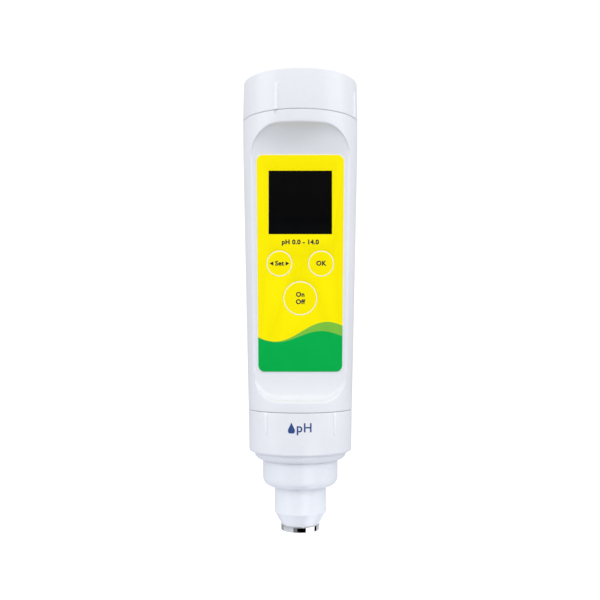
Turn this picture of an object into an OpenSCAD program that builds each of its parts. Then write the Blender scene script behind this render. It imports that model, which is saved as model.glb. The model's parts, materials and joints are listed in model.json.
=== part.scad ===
/* [Barrel] */
// Outside diameter of the barrel under the battery cap
barrel_d = 40; // [39.6:0.1:40.4]
// Outside diameter of the barrel at its lower end
barrel_low_d = 35.5; // [35.2:0.1:35.8]
// Thickness of the barrel's wall
wall = 2; // [1.8:0.1:2.1]

/* [Front face] */
// Half width of the label at its top edge
label_top_half_w = 14.7; // [14.4:0.1:14.8]
// Half width of the label at its bottom edge
label_low_half_w = 14.0; // [13.7:0.1:14.2]
// Width of the display window
window_w = 21.3; // [21:0.1:21.6]
// Height of the display window
window_h = 21.4; // [21:0.1:21.6]
// Radius of the two small keys
small_key_r = 4.35; // [4.2:0.05:4.5]
// Radius of the large key
large_key_r = 5.7; // [5.5:0.05:5.8]
// Travel of a key
key_travel = 0.3; // [0.2:0.05:0.35]

/* [Screw threads] */
// Pitch of the battery cap's and the locking collar's threads
pitch = 3; // [2.9:0.05:3.1]

/* [Probe] */
// Diameter of the shank that the storage cap slides on
shank_d = 17.6; // [17.2:0.1:17.8]
// Diameter of the thick part below the collar
probe_d = 25.6; // [25.3:0.1:25.8]
// Outside diameter of the steel ring round the sensing tip
ring_d = 13.1; // [12.9:0.1:13.2]

/* [Hidden] */
$fn = 96;

plastic = "#e9ebef";
dark = "#222222";
metal = "#b9bbbe";
gold = "#d8b45a";
pcb = "#1f6b3a";

// Heights along the axis, from the steel ring's lower face
ring_top_z = 1.9;
cone_top_z = 6.2;
step_z = 14.9;
lip_z = 24;
collar_step_z = 26.9;
collar_top_z = 41;
seam_z = 140.2;
total_h = 154.1;
seam_gap = 0.12;

// Barrel
barrel_r = barrel_d / 2;
barrel_low_r = barrel_low_d / 2;
draft_top_z = 130;
draft_top_r = barrel_r - 0.1;
socket_floor_z = 44.2;
bulkhead_z = 42.8;
bulkhead_hole_r = 6.8;
edge_break = 0.25;
neck_r = 16.6;
neck_bore_r = 14.8;
neck_top_z = 150.5;
key_slot_w = 3.4;
key_slot_r = 15.7;

// Spigot that the locking collar screws on
spigot_r = 14.6;
spigot_bore_r = 12.7;
spigot_z = 30.2;
keyway_w = 3;
keyway_r = 13.6;

// Threads: a ridge is ridge_base wide at its root and ridge_crest wide at its crest
ridge_base = 1.5;
ridge_crest = 0.9;
ridge_height = 1;
ridge_steps = 36;
cap_thread_z = 144.3;
cap_thread_turns = 1.5;
collar_thread_z = 31.7;
collar_thread_turns = 2.25;

// Flat front face: it leans with the barrel's draft
face_tilt = 1.245;
face_z = 90;
face_y = -10.155;
face_top = 46;
face_bottom = -45.3;
face_top_half_w = 16.15;
face_low_half_w = 15.75;
face_top_corner_r = 9;
face_low_corner_r = 8.5;
face_ceiling_r = 8;
face_ledge_r = 3;

// Label and what it holds, in the face's own plane
label_top = 36.85;
label_bottom = -35.95;
label_t = 0.35;
label_corner_r = 2.1;
window_mid = 20.8;
small_key_x = 6.98;
small_key_y = 0.25;
large_key_y = -11.4;
key_gap = 0.07;
key_flange = 0.37;
board_front = -7;
board_t = 1.6;
boss_r = 2;
boss_x = 10.8;
boss_ys = [-12, -34];
frame_w = 26;
frame_h = 26;

// Batteries: two of 10.5 mm diameter, 44.5 mm long
cell_r = 5.25;
cell_x = 5.6;
cell_y = 6.4;
cell_z = 100.4;
cell_h = 44.5;
tray_r = 14.4;
tray_z = 96;
tray_front_y = 0.4;

// Battery cap
cap_bore_r = 18.25;
cap_roof_z = 152;
cap_edge_r = 0.9;
cap_draft = 0.25;
rib_w = 1;
rib_proud = 0.42;
rib_top_z = 149;
rib_angle = -113.5;
snap_r = 4;
snap_gap = 0.05;

// Locking collar
collar_bore_r = 16.05;
collar_low_r = 17.5;
collar_edge_r = 0.7;
lip_outer_r = 15.8;
lip_round = 2.8;
lip_bore_r = 13.15;
flange_z = 27.6;
flange_top_z = 29.6;
collar_rib_angle = 39.3;

// Probe
probe_r = probe_d / 2;
shank_r = shank_d / 2;
step_round = 3.2;
tip_r = 6.36;
plug_r = 12.4;
plug_top_z = 42;
seal_z = 37;
pin_circle_r = 5;
bulb_r = 3;
stem_r = 2.6;

// Points of an arc about (cx, cy), from angle a0 to a1
function arc(cx, cy, r, a0, a1, n = 10) =
    [for (i = [0:n]) let (a = a0 + (a1 - a0) * i / n) [cx + r * cos(a), cy + r * sin(a)]];

// Outside radius of the barrel at height z
function barrel_radius(z) =
    z > draft_top_z
        ? draft_top_r + (barrel_r - draft_top_r) * (z - draft_top_z) / (seam_z - draft_top_z)
        : barrel_low_r + (draft_top_r - barrel_low_r) * (z - collar_top_z) / (draft_top_z - collar_top_z);

// Puts children in the plane of the front face: x across, y up, z outwards
module in_face() {
    translate([0, face_y, face_z]) rotate([90 + face_tilt, 0, 0]) children();
}

// Box in the face's plane, centred across, from height y0 to y1 and depth z0 to z1
module face_box(w, y0, y1, z0, z1, x = 0) {
    translate([x - w / 2, y0, z0]) cube([w, y1 - y0, z1 - z0]);
}

// Disc in the face's plane, from depth z0 to z1
module face_disc(x, y, r, z0, z1) {
    translate([x, y, z0]) cylinder(r = r, h = z1 - z0);
}

// Everything behind the plane that is depth below the front face
module behind_face(depth) {
    in_face() face_box(80, -100, 100, -60, -depth);
}

// Tube between two radii and two heights
module tube(r_out, r_in, z0, z1) {
    difference() {
        translate([0, 0, z0]) cylinder(r = r_out, h = z1 - z0);
        translate([0, 0, z0 - 1]) cylinder(r = r_in, h = z1 - z0 + 2);
    }
}

// Helical ridge whose root is at r_root and whose crest is at r_crest, inside or outside
module thread_ridge(r_root, r_crest, z, turns, start = 0) {
    out = r_crest > r_root ? 1 : -1;
    section = [[r_root, -ridge_base / 2], [r_crest, -ridge_crest / 2],
        [r_crest, ridge_crest / 2], [r_root, ridge_base / 2]];
    n = round(turns * ridge_steps);
    points = [for (i = [0:n], p = section)
        let (a = start + 360 * i / ridge_steps) [p[0] * cos(a), p[0] * sin(a), z + p[1] + pitch * a / 360]];
    sides = [for (i = [0:n - 1], k = [0:3])
        [4 * i + k, 4 * i + (k + 1) % 4, 4 * i + (k + 1) % 4 + 4, 4 * i + k + 4]];
    faces = concat([[3, 2, 1, 0]], sides, [[for (k = [0:3]) 4 * n + k]]);
    polyhedron(points, out > 0 ? faces : [for (f = faces) [for (k = [1:len(f)]) f[len(f) - k]]], convexity = 8);
}

// ---------- Barrel ----------

module barrel_outside() {
    rotate_extrude() polygon([
        [0, spigot_z], [spigot_r - 0.4, spigot_z], [spigot_r, spigot_z + 0.4], [spigot_r, collar_top_z],
        [barrel_low_r - edge_break, collar_top_z], [barrel_low_r, collar_top_z + edge_break],
        [draft_top_r, draft_top_z], [barrel_r, seam_z - edge_break], [barrel_r - edge_break, seam_z],
        [neck_r, seam_z], [neck_r, neck_top_z - 0.4], [neck_r - 0.4, neck_top_z], [0, neck_top_z]]);
}

module barrel_hollow() {
    rotate_extrude() polygon([
        [0, socket_floor_z], [barrel_radius(socket_floor_z) - wall, socket_floor_z],
        [draft_top_r - wall, draft_top_z], [barrel_r - wall, seam_z - 6],
        [neck_bore_r, seam_z - 2], [neck_bore_r, neck_top_z + 1], [0, neck_top_z + 1]]);
}

// Outline of the flat front recess: round corners, and straight sides that run out past the barrel
module face_outline() {
    top_r = face_top_corner_r;
    low_r = face_low_corner_r;
    polygon(concat(
        arc(face_top_half_w - top_r, face_top - top_r, top_r, 0, 90),
        arc(top_r - face_top_half_w, face_top - top_r, top_r, 90, 180),
        arc(low_r - face_low_half_w, face_bottom + low_r, low_r, 180, 270),
        arc(face_low_half_w - low_r, face_bottom + low_r, low_r, 270, 360)));
    translate([-18, face_bottom + low_r]) square([36, face_top - face_bottom - top_r - low_r]);
}

// What the flat front recess takes away
module face_cut() {
    in_face() intersection() {
        linear_extrude(20) face_outline();
        rotate([90, 0, 90]) linear_extrude(50, center = true) polygon(concat(
            [[face_top, 20], [face_bottom, 20]],
            arc(face_bottom + face_ledge_r, face_ledge_r, face_ledge_r, 180, 270, 6),
            arc(face_top - face_ceiling_r, face_ceiling_r, face_ceiling_r, 270, 360)));
    }
}

module key_places() {
    face_hole(-small_key_x, small_key_y, small_key_r);
    face_hole(small_key_x, small_key_y, small_key_r);
    face_hole(0, large_key_y, large_key_r);
}

module face_hole(x, y, r) {
    face_disc(x, y, r + key_flange + 0.15, -wall - 1, 1);
}

module board_bosses() {
    in_face() for (x = [-boss_x, boss_x], y = boss_ys)
        difference() {
            face_disc(x, y, boss_r, board_front, -wall / 2);
            face_disc(x, y, 0.8, board_front - 1, board_front + 4);
        }
}

// Ledge that the battery tray stands on
module tray_ledge() {
    intersection() {
        tube(barrel_radius(95) - wall / 2, 13.4, tray_z - 2, tray_z - 0.1);
        translate([-20, tray_front_y, 90]) cube([40, 20, 10]);
    }
}

module barrel_shell() color(plastic) {
    difference() {
        union() {
            difference() {
                barrel_outside();
                face_cut();
                intersection() {
                    barrel_hollow();
                    behind_face(wall - 0.2);
                }
            }
            board_bosses();
            tray_ledge();
            thread_ridge(neck_r - 0.3, neck_r + ridge_height, cap_thread_z, cap_thread_turns);
            thread_ridge(spigot_r - 0.3, spigot_r + ridge_height, collar_thread_z, collar_thread_turns);
        }
        translate([0, 0, seam_z - 2]) cylinder(r = neck_bore_r, h = neck_top_z - seam_z + 3);
        translate([0, 0, spigot_z - 1]) cylinder(r = spigot_bore_r, h = bulkhead_z - spigot_z + 1);
        translate([0, 0, bulkhead_z - 1]) cylinder(r = bulkhead_hole_r, h = 3);
        translate([-keyway_w / 2, 0, spigot_z - 1]) cube([keyway_w, keyway_r, bulkhead_z - spigot_z]);
        in_face() key_places();
        in_face() face_box(window_w - 2, window_mid - window_h / 2 + 1, window_mid + window_h / 2 - 1, -wall - 1, 1);
        for (side = [0, 180]) rotate([0, 0, side])
            translate([neck_bore_r - 1, -key_slot_w / 2, seam_z - 0.2])
                cube([key_slot_r - neck_bore_r + 1, key_slot_w, 12]);
        rotate([0, 0, rib_angle]) translate([barrel_r - 0.3, -0.6, seam_z - 1.2]) cube([2, 1.2, 2]);
    }
}

// ---------- Front face ----------

module label_outline() {
    r = label_corner_r;
    polygon(concat(
        arc(label_top_half_w - r, label_top - r, r, 0, 90, 8),
        arc(r - label_top_half_w, label_top - r, r, 90, 180, 8),
        arc(r - label_low_half_w, label_bottom + r, r, 180, 270, 8),
        arc(label_low_half_w - r, label_bottom + r, r, 270, 360, 8)));
}

module face_label() color("#fef200") in_face() difference() {
    linear_extrude(label_t) label_outline();
    face_disc(-small_key_x, small_key_y, small_key_r + key_gap, -1, 1);
    face_disc(small_key_x, small_key_y, small_key_r + key_gap, -1, 1);
    face_disc(0, large_key_y, large_key_r + key_gap, -1, 1);
    face_box(window_w, window_mid - window_h / 2, window_mid + window_h / 2, -1, 1);
}

module display_window() color(dark) in_face()
    face_box(window_w - 0.06, window_mid - window_h / 2 + 0.03, window_mid + window_h / 2 - 0.03, 0, label_t - 0.03);

module display_panel() color("#7d8a78") in_face() {
    face_box(frame_w - 2, window_mid - frame_h / 2 + 1, window_mid + frame_h / 2 - 1, -3, -1.9);
    face_box(frame_w - 2, window_mid - frame_h / 2 + 3.2, window_mid + frame_h / 2 - 1, -4.1, -3);
}

module display_frame() color("#dddddd") in_face() difference() {
    face_box(frame_w, window_mid - frame_h / 2, window_mid + frame_h / 2, board_front, -1.85);
    face_box(frame_w - 1.9, window_mid - frame_h / 2 + 0.95, window_mid + frame_h / 2 - 0.95, -4.15, -1);
    face_box(frame_w - 6, window_mid - frame_h / 2 + 1, window_mid + frame_h / 2 - 1, -8, -4);
}

module display_connectors() color("#c86f86") in_face()
    for (y = [window_mid - frame_h / 2 + 1.1, window_mid + frame_h / 2 - 3.1])
        face_box(frame_w - 6.4, y, y + 2, board_front, y < window_mid ? -3 : -4.1);

module key_gasket() color("#444444") in_face() difference() {
    face_box(21, -18.4, 6.2, -wall - 0.4, -wall + 0.15);
    face_disc(-small_key_x, small_key_y, 2, -4, 0);
    face_disc(small_key_x, small_key_y, 2, -4, 0);
    face_disc(0, large_key_y, 2, -4, 0);
}

// One key: a cap flush with the label, a flange that keeps it in, and a stem
module key_body(x, y, r) color("#fef200") in_face() {
    face_disc(x, y, r, -0.5, label_t);
    face_disc(x, y, r + key_flange, -1.2, -0.06);
    face_disc(x, y, 1.5, -3.7, -1);
}

module switch_button(x, y) color(dark) in_face() face_disc(x, y, 1.7, -5.7, -3.7);

module key_cal() key_body(-small_key_x, small_key_y, small_key_r);
module key_enter() key_body(small_key_x, small_key_y, small_key_r);
module key_hold() key_body(0, large_key_y, large_key_r);
module switch_button_cal() switch_button(-small_key_x, small_key_y);
module switch_button_enter() switch_button(small_key_x, small_key_y);
module switch_button_hold() switch_button(0, large_key_y);

module one_switch(x, y) difference() {
    face_box(6, y - 3, y + 3, board_front, -4.2, x);
    face_disc(x, y, 1.85, -6.3, 0);
}

module key_switches() color("#8e9196") in_face() {
    one_switch(-small_key_x, small_key_y);
    one_switch(small_key_x, small_key_y);
    one_switch(0, large_key_y);
}

// ---------- Circuit board ----------

module main_board() color(pcb) in_face() difference() {
    face_box(26, -37.5, 35.5, board_front - board_t, board_front);
    for (x = [-boss_x, boss_x], y = boss_ys) face_disc(x, y, 1.1, -20, 0);
}

module board_screws() color(metal) in_face() for (x = [-boss_x, boss_x], y = boss_ys) difference() {
    union() {
        face_disc(x, y, 0.8, board_front - board_t, board_front + 3.5);
        face_disc(x, y, 1.8, board_front - board_t - 1.2, board_front - board_t);
    }
    face_box(0.5, y - 1.3, y + 1.3, board_front - board_t - 2, board_front - board_t - 0.6, x);
    face_box(2.6, y - 0.25, y + 0.25, board_front - board_t - 2, board_front - board_t - 0.6, x);
}

module processor_chip() color(dark) in_face() {
    face_box(7, -28.5, -21.5, board_front + 0.1, board_front + 1.3);
    for (side = [0:90:270], i = [-3:3])
        translate([0, -25, board_front]) rotate([0, 0, side]) translate([3.3, 0.9 * i - 0.15, 0])
            cube([1.2, 0.3, 0.25]);
}

module amplifier_chip() color(dark) in_face() {
    face_box(4, -34.5, -31.5, board_front + 0.1, board_front + 1.4);
    for (i = [-1:1]) face_box(0.4, -35.3, -30.7, board_front, board_front + 0.25, 1.2 * i);
}

module board_parts() color("#b59a6a") in_face() for (i = [0:4], side = [-1, 1])
    face_box(2, -20.5 - 2.2 * i, -19.3 - 2.2 * i, board_front, board_front + 0.9, side * 7.5);

// ---------- Batteries ----------

module battery(x, label_color) {
    color(label_color) translate([x, cell_y, cell_z]) cylinder(r = cell_r - 0.15, h = cell_h - 1);
    color(metal) translate([x, cell_y, cell_z]) cylinder(r = 1.9, h = cell_h);
}

module battery_left() battery(-cell_x, "#3a6ea5");
module battery_right() translate([0, 0, 2 * cell_z + cell_h]) mirror([0, 0, 1]) battery(cell_x, "#3a6ea5");

module battery_tray() color("#2c2f33") difference() {
    intersection() {
        translate([0, 0, tray_z]) cylinder(r = tray_r, h = 48.5);
        translate([-20, tray_front_y, tray_z]) cube([40, 20, 50]);
    }
    for (x = [-cell_x, cell_x]) {
        translate([x, cell_y, tray_z + 1.5]) cylinder(r = cell_r + 0.1, h = 50);
        translate([x, cell_y, tray_z - 1]) cylinder(r = 1.2, h = 5);
    }
    translate([-6, 9, tray_z + 12]) cube([12, 10, 26]);
}

// Coil that presses on the left battery's flat end
module battery_spring() color(metal) {
    turns = 3;
    steps = 20;
    wire_r = 0.3;
    sides = 6;
    n = turns * steps;
    points = [for (i = [0:n], k = [0:sides - 1])
        let (a = 360 * i / steps, r = 3.6 - 1.4 * i / n + wire_r * cos(360 * k / sides))
        [-cell_x + r * cos(a), cell_y + r * sin(a),
            tray_z + 1.85 + 2.2 * i / n + wire_r * sin(360 * k / sides)]];
    quads = [for (i = [0:n - 1], k = [0:sides - 1])
        [sides * i + k, sides * i + (k + 1) % sides, sides * (i + 1) + (k + 1) % sides, sides * (i + 1) + k]];
    polyhedron(points, concat([[for (k = [0:sides - 1]) k]],
        [for (q = quads) [q[3], q[2], q[1], q[0]]],
        [[for (k = [0:sides - 1]) sides * n + sides - 1 - k]]), convexity = 8);
}

module battery_stud() color(gold) translate([cell_x, cell_y, 0]) {
    translate([0, 0, tray_z - 0.4]) cylinder(r = 1.1, h = 3);
    translate([0, 0, tray_z + 1.5]) cylinder(r = 2.6, h = cell_z - tray_z - 1.55);
}

// Two spring strips that join the battery contacts to the board
module battery_terminals() color(gold) for (x = [-cell_x, cell_x])
    translate([x - 1.5, 0, 0]) rotate([90, 0, 90]) linear_extrude(3) polygon([
        [7.4, 95], [7.4, 95.4], [2, 95.4], [-1.3, 91.8], [-1.3, 88], [-0.9, 88], [-0.9, 91.6], [2.2, 95]]);

// ---------- Probe socket ----------

module pin_places() {
    for (a = [45:90:315]) rotate([0, 0, a]) translate([pin_circle_r, 0, 0]) children();
}

module probe_socket() color(dark) difference() {
    intersection() {
        translate([0, 0, socket_floor_z]) cylinder(r = 14.6, h = 4);
        behind_face(wall);
    }
    pin_places() translate([0, 0, socket_floor_z - 1]) cylinder(r = 0.75, h = 4);
}

module socket_terminals() color(gold) pin_places() translate([0, 0, socket_floor_z + 4]) cylinder(r = 0.5, h = 2.8);

module ribbon_cable() color("#c9ccd1") translate([-4, 0, 0]) rotate([90, 0, 90]) linear_extrude(8) polygon([
    [-4.2, 51], [4.2, 51], [4.2, 51.4], [1.9, 51.4], [-0.3, 53.8], [-0.3, 58.5], [-0.7, 58.5],
    [-0.7, 53.6], [1.1, 51.4], [-4.2, 51.4]]);

// ---------- Battery cap ----------

module cap_seal() color(dark) translate([0, 0, 141.7]) rotate_extrude() translate([neck_r + 0.75, 0]) circle(r = 0.73, $fn = 32);

module contact_disc() color("#d9d9d9") {
    difference() {
        union() {
            translate([0, 0, 146.4]) cylinder(r = 14.5, h = 2);
            translate([0, 0, 148]) cylinder(r = snap_r, h = 3.1);
            translate([0, 0, 151.1]) cylinder(r1 = snap_r + 0.35, r2 = snap_r - 0.1, h = 0.6);
            for (side = [0, 180]) rotate([0, 0, side]) intersection() {
                tube(15.5, 13.9, 146.4, 148.4);
                translate([10, -1.5, 140]) cube([10, 3, 10]);
            }
            for (side = [0, 180]) rotate([0, 0, side]) intersection() {
                tube(15.5, 14.95, 141, 147);
                translate([10, -1.5, 140]) cube([10, 3, 10]);
            }
        }
        translate([0, 0, 149]) cylinder(r = 2.6, h = 5);
    }
}

module bridge_contact() color(gold) {
    translate([-cell_x - 3, cell_y - 2.5, 145.9]) cube([2 * cell_x + 6, 5, 0.5]);
    for (x = [-cell_x, cell_x]) translate([x, cell_y, cell_z + cell_h + 0.05]) cylinder(r = 2, h = 1.2);
}

module cap_ribs() {
    for (k = [0:3]) rotate([0, 0, rib_angle + 90 * k])
        translate([barrel_r - 1, 0, 0]) rotate([90, 0, 90]) linear_extrude(1 + rib_proud) {
            translate([-rib_w / 2, seam_z + seam_gap]) square([rib_w, rib_top_z - seam_z - rib_w / 2]);
            translate([0, rib_top_z - rib_w / 2 + seam_gap]) circle(d = rib_w, $fn = 32);
        }
}

module battery_cap() color(plastic) {
    low = seam_z + seam_gap;
    top_r = barrel_r - cap_draft;
    difference() {
        union() {
            rotate_extrude() polygon(concat(
                [[0, low], [barrel_r - edge_break, low], [barrel_r, low + edge_break]],
                arc(top_r - cap_edge_r, total_h - cap_edge_r, cap_edge_r, 0, 90, 8),
                [[0, total_h]]));
            cap_ribs();
        }
        difference() {
            translate([0, 0, low - 1]) cylinder(r = cap_bore_r, h = cap_roof_z - low + 1);
            tube(6.4, snap_r + snap_gap, 149, 151);
            tube(6.4, snap_r + 0.8, 150.9, cap_roof_z + 1);
        }
    }
    thread_ridge(cap_bore_r + 0.3, 17, cap_thread_z - pitch / 2, cap_thread_turns - 0.25, 90);
}

// ---------- Locking collar ----------

module collar_rib() {
    translate([barrel_low_r - 1, 0, 0]) rotate([90, 0, 90]) linear_extrude(1.4)
        polygon([[-0.6, collar_top_z - seam_gap], [0.6, collar_top_z - seam_gap], [0.22, 33.5], [-0.22, 33.5]]);
}

module locking_collar() color(plastic) {
    top = collar_top_z - seam_gap;
    difference() {
        union() {
            rotate_extrude() polygon(concat(
                [[0, top], [0, lip_z], [lip_outer_r - lip_round, lip_z]],
                arc(lip_outer_r - lip_round, lip_z + lip_round, lip_round, 270, 360, 8),
                [[lip_outer_r, collar_step_z]],
                arc(collar_low_r - collar_edge_r, collar_step_z + collar_edge_r, collar_edge_r, 270, 360, 6),
                [[barrel_low_r, top - edge_break], [barrel_low_r - edge_break, top]]));
            for (a = [-90 - collar_rib_angle, -90 + collar_rib_angle, 90 - collar_rib_angle, 90 + collar_rib_angle])
                rotate([0, 0, a]) collar_rib();
        }
        translate([0, 0, lip_z - 1]) cylinder(r = lip_bore_r, h = 10);
        translate([0, 0, flange_z - 0.1]) cylinder(r = collar_bore_r, h = 20);
    }
    thread_ridge(collar_bore_r + 0.3, 15, collar_thread_z + pitch / 2, 1.5, 180);
}

// ---------- Probe ----------

module probe_housing() color(plastic) difference() {
    union() {
        rotate_extrude() polygon(concat(
            [[0, ring_top_z], [tip_r, ring_top_z], [tip_r + 0.1, ring_top_z + 0.2], [shank_r, cone_top_z], [shank_r, step_z],
                [probe_r - step_round, step_z]],
            arc(probe_r - step_round, step_z + step_round, step_round, 270, 360, 8),
            [[probe_r + 0.05, flange_z], [14.8, flange_z], [14.8, flange_top_z], [plug_r, flange_top_z],
                [plug_r, seal_z - 0.8], [plug_r - 1.2, seal_z - 0.8], [plug_r - 1.2, seal_z + 0.8],
                [plug_r, seal_z + 0.8], [plug_r, plug_top_z - 0.5], [plug_r - 0.5, plug_top_z], [0, plug_top_z]]));
        intersection() {
            translate([-1.2, 5, flange_top_z]) cube([2.4, 8.3, 6]);
            translate([0, 0, flange_top_z]) cylinder(r = 13.3, h = 6);
        }
    }
    translate([0, 0, ring_top_z - 1]) cylinder(r = 6.06, h = 3.6);
    translate([0, 0, ring_top_z]) cylinder(r = 5.2, h = 8);
    translate([0, 0, cone_top_z]) cylinder(r = 7, h = 12);
    translate([0, 0, 17]) cylinder(r = 10.6, h = 23);
    pin_places() translate([0, 0, 38]) cylinder(r = 0.52, h = 8);
    translate([0, 0, 38]) cylinder(r = 0.5, h = 2.5);
}

module collar_gasket() color(dark) tube(14.4, 13.35, flange_top_z, spigot_z - 0.1);

module probe_seal() color(dark) translate([0, 0, seal_z]) rotate_extrude() translate([plug_r - 0.48, 0]) circle(r = 0.7, $fn = 32);

module plug_pins() color(gold) pin_places() {
    translate([0, 0, 37.5]) cylinder(r = 0.5, h = 9.2);
    translate([0, 0, 46.7]) cylinder(r1 = 0.5, r2 = 0.25, h = 0.4);
}

module steel_ring() color(metal) rotate_extrude() polygon([
    [5.5, 0.2], [5.7, 0], [ring_d / 2 - 0.2, 0], [ring_d / 2, 0.2], [ring_d / 2, ring_top_z], [6.05, ring_top_z],
    [6.05, 4.3], [5.5, 4.3]]);

module reference_junction() color("#f4f1e6") difference() {
    tube(5.45, bulb_r + 0.1, 1.2, 4.4);
    translate([-4.3, 0, 0]) cylinder(r = 0.72, h = 6);
}

module ph_bulb() color("#cfe3ea") rotate_extrude() polygon(concat(
    arc(0, 3.5, bulb_r, -90, 0, 12), [[bulb_r, 4.2], [stem_r, 4.8], [stem_r - 0.5, 4.8], [bulb_r - 0.5, 4.2]],
    arc(0, 3.5, bulb_r - 0.4, 0, -90, 12)));

module glass_stem() color("#d9e8ee") tube(stem_r, stem_r - 0.5, 4.8, 36);

module silver_wire() color("#c9ccd0") translate([0, 0, 3]) cylinder(r = 0.4, h = 35.5);

module reference_wire() color("#c9ccd0") translate([4.6, 0, 9]) cylinder(r = 0.4, h = 31);

module temperature_sensor() color(metal) translate([-4.3, 0, 0]) {
    translate([0, 0, 1.4]) cylinder(r = 0.7, h = 8);
    translate([0, 0, 1.4]) sphere(r = 0.7, $fn = 32);
}

barrel_shell();
face_label();
display_window();
display_panel();
display_frame();
display_connectors();
key_gasket();
main_board();
processor_chip();
amplifier_chip();
board_parts();
key_switches();
board_screws();
battery_tray();
battery_left();
battery_right();
battery_spring();
battery_stud();
battery_terminals();
probe_socket();
socket_terminals();
ribbon_cable();
cap_seal();
contact_disc();
bridge_contact();
battery_cap();
probe_housing();
collar_gasket();
probe_seal();
plug_pins();
steel_ring();
reference_junction();
ph_bulb();
glass_stem();
silver_wire();
reference_wire();
temperature_sensor();
locking_collar();
key_cal();
switch_button_cal();
key_enter();
switch_button_enter();
key_hold();
switch_button_hold();
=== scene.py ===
"""Looks of a pen-shaped pH tester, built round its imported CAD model."""

import json
import math

import bmesh
import bpy
import numpy as np
from mathutils import Matrix, Vector


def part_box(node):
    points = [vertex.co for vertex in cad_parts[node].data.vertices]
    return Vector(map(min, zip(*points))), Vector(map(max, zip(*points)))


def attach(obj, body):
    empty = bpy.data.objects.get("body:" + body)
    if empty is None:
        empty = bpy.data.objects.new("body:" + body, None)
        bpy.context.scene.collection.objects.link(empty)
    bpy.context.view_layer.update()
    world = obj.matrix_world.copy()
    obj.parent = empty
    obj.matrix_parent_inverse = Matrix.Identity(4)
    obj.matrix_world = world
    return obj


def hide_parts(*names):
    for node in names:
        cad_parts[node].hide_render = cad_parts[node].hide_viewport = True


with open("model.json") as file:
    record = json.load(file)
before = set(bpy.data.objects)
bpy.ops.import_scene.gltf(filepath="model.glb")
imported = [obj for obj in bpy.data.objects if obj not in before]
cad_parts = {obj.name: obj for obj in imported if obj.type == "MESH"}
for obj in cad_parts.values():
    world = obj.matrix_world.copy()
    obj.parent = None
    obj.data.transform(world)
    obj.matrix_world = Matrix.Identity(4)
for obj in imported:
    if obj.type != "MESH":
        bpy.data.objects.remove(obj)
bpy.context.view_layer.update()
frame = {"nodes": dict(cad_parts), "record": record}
nodes = frame["nodes"]

MM = 0.001
FULL_TURN = 2 * math.pi
AROUND = 192  # segments round the axis


# ---------- Sizes, in millimetres, from the frame and from the design ----------

def low(node):
    """Lowest corner of a CAD node, in millimetres."""
    return Vector(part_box(node)[0]) / MM


def high(node):
    """Highest corner of a CAD node, in millimetres."""
    return Vector(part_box(node)[1]) / MM


SEAM_GAP = 0.12
SEAM_Z = low("battery_cap").z - SEAM_GAP
TOP_Z = high("battery_cap").z
BARREL_R = high("battery_cap").y
NECK_TOP_Z = high("barrel_shell").z
SPIGOT_Z = low("barrel_shell").z
COLLAR_TOP_Z = high("locking_collar").z + SEAM_GAP
BARREL_LOW_R = 17.75
DRAFT_TOP_Z = 130
DRAFT_TOP_R = BARREL_R - 0.1
EDGE_BREAK = 0.25
WALL = 2
NECK_R = 16.6
NECK_BORE_R = 14.8
NECK_SLOT = (15.7, 1.7)  # half length and half width
SPIGOT_R = 14.6
SPIGOT_BORE_R = 12.7
BULKHEAD_Z = 42.8
BULKHEAD_HOLE_R = 6.8
KEYWAY = (1.5, 13.6)  # half width and reach
SOCKET_FLOOR_Z = low("probe_socket").z
BOSS_X = 10.8
BOSS_Y = (-12, -34)
TRAY_LEDGE_Z = (94, 95.9)
TRAY_LEDGE_BORE_R = 13.4

# Battery cap, locking collar, probe and ring
CAP_BORE_R = 18.25
CAP_CEILING_Z = 152
COLLAR_BORE_R = 16.05
COLLAR_LIP_BORE_R = 13.15
COLLAR_STEP_Z = 26.9
LIP_Z = 24
LIP_ROUND = 2.8
SHANK_R = 8.8
CONE_TOP_Z = 6.2
PROBE_R = 12.8
PROBE_STEP_Z = 14.9
PROBE_ROUND = 3.2
PLUG_TOP_Z = 42
RING_R = 6.55
RING_BORE_R = 5.5
RING_TOP_Z = 1.9
RING_SLEEVE_R = 6.05

# The front face leans with the barrel's draft. Its plane has x across, y up and z outwards.
FACE_TILT = math.radians(1.245)
FACE_Y = -10.155
FACE_Z = 90
FACE_TOP = 46
FACE_LOW = -45.3
FACE_TOP_CORNER = 9
FACE_LOW_CORNER = 8.5
FACE_EDGE_ROUND = 0.8
SIDE_ROUND = 1.2
LABEL_T = 0.35
LABEL_TOP = (14.7, 36.85)  # half width and height
LABEL_LOW = (14.0, -35.95)
LABEL_CORNER = 2.1
BORDER = 0.3

# Keys: place in the face's plane, radius, body, CAD node
KEYS = {
    "left": (-6.98, 0.25, 4.35, "key_left", "key_cal"),
    "right": (6.98, 0.25, 4.35, "key_right", "key_enter"),
    "large": (0.0, -11.4, 5.7, "key_large", "key_hold"),
}
KEY_GAP = 0.05
KEY_HOLE_GAP = 0.52
KEY_FLANGE = 0.37
KEY_FLANGE_Z = (-0.06, -1.2)
KEY_STEM_R = 1.5
KEY_STEM_Z = -3.7
PRINT_RING = 0.3

PITCH = 3
THREAD_DEPTH = 1.3
THREAD_WIDTH = 1.2
THREAD_TAPER = 0.3
THREAD_LIFT = 0.35
CAP_RIB_ANGLE = math.radians(-113.5)
COLLAR_RIB_ANGLES = (math.radians(-129.3), math.radians(-50.7))
CAP_RIB = (1.15, 1.15, 0.5)  # width at the top and at the bottom, and how far it stands out
COLLAR_RIB = (1.45, 0.5, 0.45)


def face_point(x, y, z):
    """A point of the face's plane, in the row frame."""
    sin, cos = math.sin(FACE_TILT), math.cos(FACE_TILT)
    return Vector((x, FACE_Y - sin * y - cos * z, FACE_Z + cos * y - sin * z))


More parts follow.
